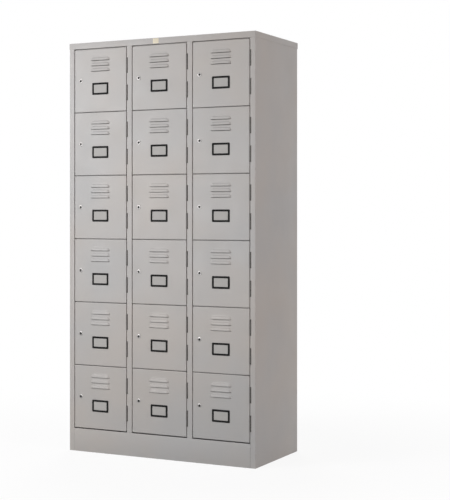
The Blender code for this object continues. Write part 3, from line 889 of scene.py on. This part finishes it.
# The line in the middle of the sheet, from the outer line with the sheet on its left
def middleLine(path):
    points = [Vector(point) for point in path]
    headings = [(end - start).normalized() for start, end in zip(points, points[1:])]
    middle = []
    for index, point in enumerate(points):
        before = headings[max(index - 1, 0)]
        after = headings[min(index, len(headings) - 1)]
        mitre = Vector((-before.y - after.y, before.x + after.x))
        middle.append(point + mitre * (sheetThickness / mitre.length_squared))
    return middle


def foldedSheet(points, run):
    mesh = runTree(foldTree, lineMesh(points), {
        "Bend Radius": cabinet["bend"], "Bend Steps": cabinet["bendSteps"], "Run": run,
        "Finish": powderCoat}, ("SOLIDIFY", {**thicken, "offset": 0.0}))
    bm = bmesh.new()
    bm.from_mesh(mesh)
    return meshFrom(bm)


def addBox(bm, lowCorner, highCorner):
    made = bmesh.ops.create_cube(bm, size=1)["verts"]
    size = [highCorner[axis] - lowCorner[axis] for axis in range(3)]
    middle = [(highCorner[axis] + lowCorner[axis]) / 2 for axis in range(3)]
    bmesh.ops.scale(bm, vec=size, verts=made)
    bmesh.ops.translate(bm, vec=middle, verts=made)


def cutAway(mesh, bm):
    tool = newObject("cutter", meshFrom(bm))
    change = {"operation": "DIFFERENCE", "solver": "EXACT", "object": tool}
    result = withModifiers(mesh, ("BOOLEAN", change))
    bpy.data.objects.remove(tool, do_unlink=True)
    return result


# Notches for the knuckles, in the frame edge on the hinge side of a column
def notchCutter(edge):
    bm = bmesh.new()
    clear = cabinet["notchClearance"]
    inner = edge + pinAxis + hinge["knuckle"] + clear
    depth = frontPlane + hinge["setback"] + hinge["knuckle"] + clear
    half = hinge["length"] / 2 + clear
    for tier in range(1, tierCount + 1):
        for centre in hingeCentres:
            z = low(f"door_left_{tier}").z + centre
            addBox(bm, (edge - cabinet["overrun"], frontPlane - cabinet["overrun"], z - half),
                   (inner, depth, z + half))
    return bm


# Plan line of a side panel or partition from its rear flange to its door stop
def uprightLine(x, side, face, rearY, lip, foot=0):
    depth = rearY - frontPlane
    path = [(cabinet["rearFlange"], depth), (0, depth), (0, 0), (face, 0),
            (face, cabinet["return"]), (face + lip, cabinet["return"])]
    return [Vector((x + side * point.x, frontPlane + point.y, foot)) for point in middleLine(path)]


panelLow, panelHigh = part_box("side_panel_left")
leftFace = panelLow.x
rightFace = high("side_panel_right").x
stopLip = cabinet["stopLip"]

for sideName, x, side in (("left", leftFace, 1), ("right", rightFace, -1)):
    line = uprightLine(x, side, cabinet["stileFace"], panelHigh.y, side * stopLip)
    panel = foldedSheet(line, (0, 0, panelHigh.z))
    if sideName == "right":
        panel = cutAway(panel, notchCutter(frameEdges["right"]))
    addSheet(f"side_sheet_{sideName}", panel, f"side_panel_{sideName}")

partitionLow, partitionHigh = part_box("partition_1")
for number, columnName in ((1, "left"), (2, "centre")):
    edge = frameEdges[columnName]
    line = uprightLine(edge, 1, cabinet["postFace"], partitionHigh.y, stopLip, partitionLow.z)
    partition = foldedSheet(line, (0, 0, partitionHigh.z - partitionLow.z))
    cuts = notchCutter(edge)
    addBox(cuts, (edge - cabinet["overrun"], low("floor_panel").y - seam,
                  partitionLow.z - cabinet["overrun"]),
           (edge + cabinet["postFace"] + stopLip, high("back_panel").y,
            high("floor_panel").z + seam))
    addSheet(f"partition_sheet_{number}", cutAway(partition, cuts), f"partition_{number}")
print("Side panels and partitions folded")

frameHinge = makeFrameHinge()
for columnName in columnNames:
    place = (frameEdges[columnName] + pinAxis, frontPlane + hinge["setback"],
             low(f"door_{columnName}_{tierCount}").z + hingeCentres[0])
    addPiece(f"frame_hinges_{columnName}", hingePairs(frameHinge, tierCount), "cabinet", place,
             hingeSteel)


# Sheets that run from side to side, folded in the plane of depth and height
def crossSheet(path, lowX, highX, baseZ=0):
    points = [Vector((lowX, frontPlane + point.x, baseZ + point.y)) for point in middleLine(path)]
    return foldedSheet(points, (highX - lowX, 0, 0))


backLow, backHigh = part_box("back_panel")
rear = backHigh.y - frontPlane
backPath = [(rear - cabinet["backReturn"], 0), (rear, 0), (rear, backHigh.z),
            (rear - cabinet["backReturn"], backHigh.z)]
addSheet("back_sheet", crossSheet(backPath, backLow.x, backHigh.x), "back_panel")

plinthLow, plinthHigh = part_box("plinth")
hemDepth = 2 * sheetThickness + seam
plinthPath = [(hemDepth, plinthHigh.z - cabinet["hem"]), (hemDepth, plinthHigh.z),
              (0, plinthHigh.z), (0, 0), (plinthHigh.y - frontPlane, 0)]
addSheet("plinth_sheet", crossSheet(plinthPath, plinthLow.x, plinthHigh.x), "plinth")


# A tray with its open side down, in the box of its CAD node
def trayMesh(lowCorner, highCorner, flange):
    bm = bmesh.new()
    profile = foldProfile(flange, 0, cabinet["trayBend"], cabinet["traySupport"],
                          cabinet["traySteps"])
    rings = panRings(bm, highCorner.x - lowCorner.x, highCorner.y - lowCorner.y, profile,
                     cabinet["trayCorner"], cabinet["traySteps"])
    bm.faces.new(rings[0])
    mesh = thickened(bm)
    # The pan's front becomes the tray's top
    mesh.transform(Matrix(((1, 0, 0, (lowCorner.x + highCorner.x) / 2),
                           (0, 0, 1, (lowCorner.y + highCorner.y) / 2),
                           (0, -1, 0, highCorner.z), (0, 0, 0, 1))))
    return mesh


# The floor's front flange is short, so that the gap under the doors opens on the ground below it, which
# is painted black as shade
floorLow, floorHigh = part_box("floor_panel")
beyond = cabinet["overrun"]
flangeCut = bmesh.new()
addBox(flangeCut, floorLow - Vector((beyond, beyond, beyond)),
       (floorHigh.x + beyond, floorLow.y + beyond, floorHigh.z - cabinet["floorLip"]))
floorTray = trayMesh(floorLow, floorHigh, cabinet["shelfFlange"])
addSheet("floor_sheet", cutAway(floorTray, flangeCut), "floor_panel")

for columnName in columnNames:
    firstLow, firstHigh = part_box(f"shelf_{columnName}_1")
    tray = trayMesh(firstLow, firstHigh, cabinet["shelfFlange"])
    for level in range(1, tierCount):
        node = f"shelf_{columnName}_{level}"
        addSheet(f"shelf_sheet_{columnName}_{level}", tray, node, offset=low(node) - firstLow)

capLow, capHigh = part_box("top_cap")
addSheet("cap_sheet", trayMesh(capLow, capHigh, cabinet["capLip"]), "top_cap")
stopDepth = cabinet["return"] - seam
stopPath = [(stopDepth, -cabinet["capLip"] - cabinet["headerStop"]), (stopDepth, -cabinet["capLip"]),
            (-seam, -cabinet["capLip"])]
for columnName in columnNames:
    start = low(f"door_{columnName}_1").x - hinge["gap"] + seam
    length = doorWidth + 2 * (hinge["gap"] - seam)
    addSheet(f"header_stop_{columnName}", crossSheet(stopPath, start, start + length, capHigh.z))
print("Back, plinth, floor, shelves and cap folded")


# Spot welds along the rear flanges, as shallow raised rings on the painted sheet
spotWeld = {
    "radius": 0.003, "height": 0.00025, "spacing": 0.085, "seed": 7, "sides": 14, "least": 0.85,
    "most": 1.1, "crownShare": 0.55, "inset": 0.0075, "foot": 0.06, "head": 0.05,
}


def makeWeldTree():
    tree, given = startTree("spot_weld_rows", {
        "Float": ("Radius", "Height", "Spacing", "Least", "Most"), "Vector": ("Turn",),
        "Int": ("Seed", "Sides")})
    curve = outputOf(tree, "GeometryNodeMeshToCurve", {"Mesh": given["Geometry"]})
    spots = outputOf(tree, "GeometryNodeCurveToPoints",
                     {"Curve": curve, "Length": given["Spacing"]}, mode="LENGTH")
    mark = outputOf(tree, "GeometryNodeMeshCone", {
        "Vertices": given["Sides"], "Radius Bottom": given["Radius"], "Depth": given["Height"],
        "Radius Top": times(tree, given["Radius"], spotWeld["crownShare"])})
    size = newNode(tree, "FunctionNodeRandomValue", {
        2: given["Least"], 3: given["Most"], "Seed": given["Seed"]}, data_type="FLOAT").outputs[1]
    row = outputOf(tree, "GeometryNodeInstanceOnPoints", {
        "Points": spots, "Instance": mark, "Rotation": given["Turn"], "Scale": size})
    return endTree(tree, row, given["Finish"])


weldTree = makeWeldTree()
weldValues = {key.title(): value for key, value in spotWeld.items()}
for sideName, x in (("left", leftFace + spotWeld["inset"]), ("right", rightFace - spotWeld["inset"])):
    line = lineMesh([(x, panelHigh.y, z) for z in (spotWeld["foot"], panelHigh.z - spotWeld["head"])])
    welds = runTree(weldTree, line, {**weldValues, "Turn": (-math.pi / 2, 0, 0),
                                     "Finish": powderCoat})
    addSheet(f"spot_welds_{sideName}", welds, angle=50)

# Blank sticker on the header. Its section has insets and shares of the thickness.
sticker = {
    "left": 0.427, "width": 0.028, "bottom": 1.8045, "top": 1.8265, "corner": 0.0015,
    "thickness": 0.00015, "section": ((0, 0), (0, 0.7), (0.0001, 1)),
}


def makeSticker():
    bm = bmesh.new()
    halfWidth = sticker["width"] / 2
    halfHeight = (sticker["top"] - sticker["bottom"]) / 2
    rings = [ringOf(bm, roundedRectangle(halfWidth - inset, halfHeight - inset, sticker["corner"]),
                    -share * sticker["thickness"]) for inset, share in sticker["section"]]
    wallsBetween(bm, rings, capped=True)
    return smoothFrom(bm)


stickerPlace = (leftFace + sticker["left"] + sticker["width"] / 2, capLow.y,
                (sticker["top"] + sticker["bottom"]) / 2)
addPiece("header_sticker", makeSticker(), "cabinet", stickerPlace, stickerFinish)
print("Welds and sticker added")

# Camera, from the edges of the photograph
view = {
    "place": (2.6844, -5.2072, 1.0697), "turn": 28.38,
    "lens": {"sensor_width": 36, "lens": 93.86, "shift_x": 0.1341, "shift_y": -0.0750, "clip_end": 100},
}
camera = newObject("camera", bpy.data.cameras.new("camera"))
camera.location = view["place"]
camera.rotation_euler = (math.pi / 2, 0, math.radians(view["turn"]))
setAll(camera.data, view["lens"])
bpy.context.scene.camera = camera

# Light: soft lamps from the front, the left, high on the left, the right and the rear, and an
# even surrounding. Each lamp has its name, place, size, power and colour.
light = {
    "lamps": (
        ("front_lamp", (-1.5, -3.5, 1.0), 1.5, 36, (1.0, 1.0, 1.02)),
        ("left_lamp", (-1.8, -2.2, 1.9), 1.2, 23, (1.02, 1.0, 1.0)),
        ("high_left_lamp", (-3.5, -4.5, 6.0), 2.0, 104, (1.0, 1.0, 1.05)),
        ("side_lamp", (4.0, -1.1, 1.6), 2.0, 54.5, (1.10, 1.0, 0.99)),
        ("rear_lamp", (-1.6, 3.2, 2.2), 2.0, 84, (1.0, 1.0, 1.0)),
    ),
    "target": (0, -0.2, 1.0), "fill": (0.15, 0.15, 0.15), "floor": (0.46, 0.445, 0.425),
    "floorShown": (0.95, 0.95, 0.95), "glowNear": 0.90, "glowFar": 1.0, "nearRadius": 0.8,
    "farRadius": 2.2, "floorHalf": 15, "floorCells": 4,
}

for name, place, size, power, colour in light["lamps"]:
    data = bpy.data.lights.new(name, "AREA")
    setAll(data, {"shape": "DISK", "size": size, "energy": power, "color": colour})
    lamp = newObject(name, data)
    lamp.location = place
    heading = Vector(light["target"]) - Vector(place)
    lamp.rotation_euler = heading.to_track_quat("-Z", "Y").to_euler()


# White for the camera, in mirrors and through glass
def seenDirectly(tree):
    path = newNode(tree, "ShaderNodeLightPath").outputs
    seen = maths(tree, "MAXIMUM", path["Is Camera Ray"], path["Is Glossy Ray"])
    return maths(tree, "MAXIMUM", seen, path["Is Transmission Ray"])


def emptyTree(holder):
    holder.use_nodes = True
    holder.node_tree.nodes.clear()
    return holder.node_tree


def makeSurrounding():
    world = bpy.data.worlds.new("surrounding")
    tree = emptyTree(world)
    soft = outputOf(tree, "ShaderNodeBackground", {"Color": (*light["fill"], 1)})
    white = outputOf(tree, "ShaderNodeBackground", {"Color": (1, 1, 1, 1)})
    both = outputOf(tree, "ShaderNodeMixShader", {0: seenDirectly(tree), 1: soft, 2: white})
    newNode(tree, "ShaderNodeOutputWorld", {"Surface": both})
    bpy.context.scene.world = world


def makeFloor():
    material = bpy.data.materials.new("white_floor")
    tree = emptyTree(material)
    seen = seenDirectly(tree)
    place = newNode(tree, "ShaderNodeTexCoord").outputs["Object"]
    # Painted shade: the ground inside the plinth is black and does not glow, so that the gap under the
    # doors stays dark
    sides = newNode(tree, "ShaderNodeSeparateXYZ", {0: place}).outputs
    reach = [maths(tree, "DIVIDE", maths(tree, "ABSOLUTE", sides[axis]), half - sheetThickness / 2)
             for axis, half in enumerate((rightFace, -frontPlane))]
    outside = maths(tree, "GREATER_THAN", maths(tree, "MAXIMUM", *reach), 1.0)
    around = mixed(tree, seen, light["floor"], light["floorShown"])
    matt = outputOf(tree, "ShaderNodeBsdfDiffuse", {"Color": scaled(tree, around, outside)})
    glow = outputOf(tree, "ShaderNodeEmission", {"Color": (1, 1, 1, 1)})
    away = newNode(tree, "ShaderNodeVectorMath", {0: place}, operation="LENGTH").outputs["Value"]
    amount = mapped(tree, away, light["nearRadius"], light["farRadius"], light["glowNear"],
                    light["glowFar"])
    share = times(tree, times(tree, seen, amount), outside)
    both = outputOf(tree, "ShaderNodeMixShader", {0: share, 1: matt, 2: glow})
    newNode(tree, "ShaderNodeOutputMaterial", {"Surface": both})
    bm = bmesh.new()
    bmesh.ops.create_grid(bm, x_segments=light["floorCells"], y_segments=light["floorCells"],
                          size=light["floorHalf"])
    mesh = storeMesh(bm)
    mesh.materials.append(material)
    newObject("floor", mesh)


makeSurrounding()
makeFloor()
bpy.context.scene.view_settings.view_transform = "Standard"
print("Camera, lamps and floor set")
